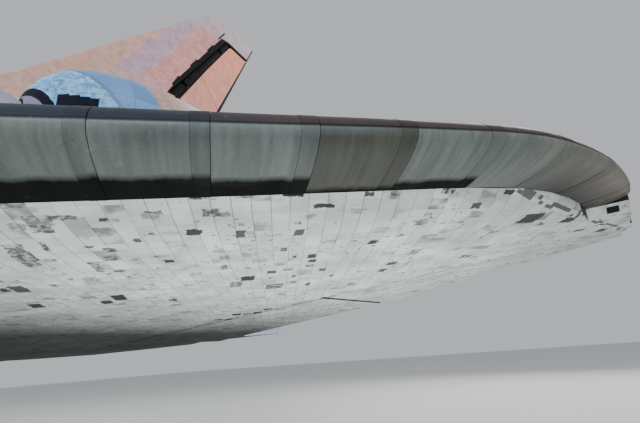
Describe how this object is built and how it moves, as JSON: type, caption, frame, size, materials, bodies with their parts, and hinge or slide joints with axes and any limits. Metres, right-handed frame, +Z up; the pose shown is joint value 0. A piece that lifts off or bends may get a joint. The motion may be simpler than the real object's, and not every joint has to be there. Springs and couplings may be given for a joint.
{
  "type": "space shuttle orbiter",
  "caption": "Winged reusable spacecraft parked on its landing gear, with opening payload bay doors, elevons, body flap, split rudder and crew hatch.",
  "frame": {"origin": "on the ground under the middle of the length and width", "axes": "+Y aft, nose towards -Y, +X to the left (port) side, +Z up"},
  "size_m": [23.7822, 37.1906, 17.2644],
  "materials": {
    "carbon": "satin grey coated carbon",
    "blanket": "matt white quilted insulation",
    "white_tile": "matt white insulating tiles, weathered",
    "cabin_lining": "grey painted floor, panel and seats",
    "window_glass": "clear thick glass",
    "bay_liner": "matt pale liner and skin",
    "nozzle_metal": "heat stained metal",
    "fin_tile": "matt white tiles, warm toned",
    "gear_metal": "grey painted steel",
    "belly_tile": "matt weathered grey insulating tiles",
    "black_tile": "matt black insulating tiles",
    "tyre_rubber": "black rubber",
    "door_skin": "white skin outside, bright radiators inside"
  },
  "bodies": {
    "orbiter": {"nose_cap": "carbon", "forward_thruster_module": "blanket", "forward_fuselage": "white_tile", "flight_deck": "cabin_lining", "windshield": "window_glass", "roof_window_left": "window_glass", "roof_window_right": "window_glass", "mid_fuselage": "bay_liner", "aft_fuselage": "white_tile", "main_engine_top": "nozzle_metal", "main_engine_left": "nozzle_metal", "main_engine_right": "nozzle_metal", "fin": "fin_tile", "parachute_housing": "blanket", "nose_gear_leg": "gear_metal", "engine_pod_left": "blanket", "orbit_engine_left": "nozzle_metal", "wing_left": "belly_tile", "leading_edge_left": "carbon", "main_gear_leg_left": "gear_metal", "main_gear_door_left": "black_tile", "nose_gear_door_left": "black_tile", "engine_pod_right": "blanket", "orbit_engine_right": "nozzle_metal", "wing_right": "belly_tile", "leading_edge_right": "carbon", "main_gear_leg_right": "gear_metal", "main_gear_door_right": "black_tile", "nose_gear_door_right": "black_tile"},
    "nose_leg_steered": {"nose_gear_piston": "gear_metal"},
    "nose_wheels": {"nose_wheel_rims": "gear_metal", "nose_tyre_left": "tyre_rubber", "nose_tyre_right": "tyre_rubber"},
    "main_wheels_left": {"main_wheel_rims_left": "gear_metal", "main_tyre_outer_left": "tyre_rubber", "main_tyre_inner_left": "tyre_rubber"},
    "elevon_inner_left": {"elevon_inner_left": "belly_tile"},
    "elevon_outer_left": {"elevon_outer_left": "belly_tile"},
    "payload_door_left": {"payload_door_left": "door_skin"},
    "main_wheels_right": {"main_wheel_rims_right": "gear_metal", "main_tyre_outer_right": "tyre_rubber", "main_tyre_inner_right": "tyre_rubber"},
    "elevon_inner_right": {"elevon_inner_right": "belly_tile"},
    "elevon_outer_right": {"elevon_outer_right": "belly_tile"},
    "payload_door_right": {"payload_door_right": "door_skin"},
    "body_flap": {"body_flap": "black_tile"},
    "rudder": {"rudder_hinge_seal": "black_tile"},
    "speed_brake_left": {"rudder_left": "fin_tile"},
    "speed_brake_right": {"rudder_right": "fin_tile"},
    "side_hatch": {"side_hatch": "white_tile"}
  },
  "joints": [
    {"name": "nose_steering", "type": "hinge", "parent": "orbiter", "child": "nose_leg_steered", "pos_m": [0, -14.63802, 1.6256], "axis": [0, 0, 1], "range_deg": [-10, 10]},
    {"name": "nose_wheels_spin", "type": "hinge", "parent": "nose_leg_steered", "child": "nose_wheels", "pos_m": [0, -14.63802, 0.4064], "axis": [1, 0, 0], "continuous": true},
    {"name": "main_wheels_left_spin", "type": "hinge", "parent": "orbiter", "child": "main_wheels_left", "pos_m": [3.4544, 5.07238, 0.56515], "axis": [1, 0, 0], "continuous": true},
    {"name": "main_wheels_right_spin", "type": "hinge", "parent": "orbiter", "child": "main_wheels_right", "pos_m": [-3.4544, 5.07238, 0.56515], "axis": [1, 0, 0], "continuous": true},
    {"name": "elevon_inner_left_hinge", "type": "hinge", "parent": "orbiter", "child": "elevon_inner_left", "pos_m": [5.3086, 10.63498, 3.7954], "axis": [0.9991, 0, 0.0423], "range_deg": [-20, 35]},
    {"name": "elevon_inner_right_hinge", "type": "hinge", "parent": "orbiter", "child": "elevon_inner_right", "pos_m": [-5.3086, 10.63498, 3.7954], "axis": [0.9991, 0, -0.0423], "range_deg": [-20, 35]},
    {"name": "elevon_outer_left_hinge", "type": "hinge", "parent": "orbiter", "child": "elevon_outer_left", "pos_m": [9.906, 10.63498, 3.98995], "axis": [0.9991, 0, 0.0423], "range_deg": [-20, 35]},
    {"name": "elevon_outer_right_hinge", "type": "hinge", "parent": "orbiter", "child": "elevon_outer_right", "pos_m": [-9.906, 10.63498, 3.98995], "axis": [0.9991, 0, -0.0423], "range_deg": [-20, 35]},
    {"name": "body_flap_hinge", "type": "hinge", "parent": "orbiter", "child": "body_flap", "pos_m": [0, 14.31798, 3.81], "axis": [1, 0, 0], "range_deg": [-22.5, 11.7]},
    {"name": "rudder_hinge", "type": "hinge", "parent": "orbiter", "child": "rudder", "pos_m": [0, 15.49029, 14.3256], "axis": [0, 0.5711, 0.8209], "range_deg": [-27.1, 27.1]},
    {"name": "speed_brake_left_hinge", "type": "hinge", "parent": "rudder", "child": "speed_brake_left", "pos_m": [0, 15.49029, 14.3256], "axis": [0, -0.5711, -0.8209], "range_deg": [0, 49.3]},
    {"name": "speed_brake_right_hinge", "type": "hinge", "parent": "rudder", "child": "speed_brake_right", "pos_m": [0, 15.49029, 14.3256], "axis": [0, 0.5711, 0.8209], "range_deg": [0, 49.3]},
    {"name": "payload_door_left_hinge", "type": "hinge", "parent": "orbiter", "child": "payload_door_left", "pos_m": [2.62128, -0.59182, 7.112], "axis": [0, 1, 0], "range_deg": [0, 175.5]},
    {"name": "payload_door_right_hinge", "type": "hinge", "parent": "orbiter", "child": "payload_door_right", "pos_m": [-2.62128, -0.59182, 7.112], "axis": [0, -1, 0], "range_deg": [0, 175.5]},
    {"name": "side_hatch_hinge", "type": "hinge", "parent": "orbiter", "child": "side_hatch", "pos_m": [2.5273, -11.59002, 5.334], "axis": [0, 1, 0], "range_deg": [0, 90]}
  ],
  "couplings": [
    {"joint": "speed_brake_right_hinge", "follows": "speed_brake_left_hinge", "ratio": 1}
  ]
}
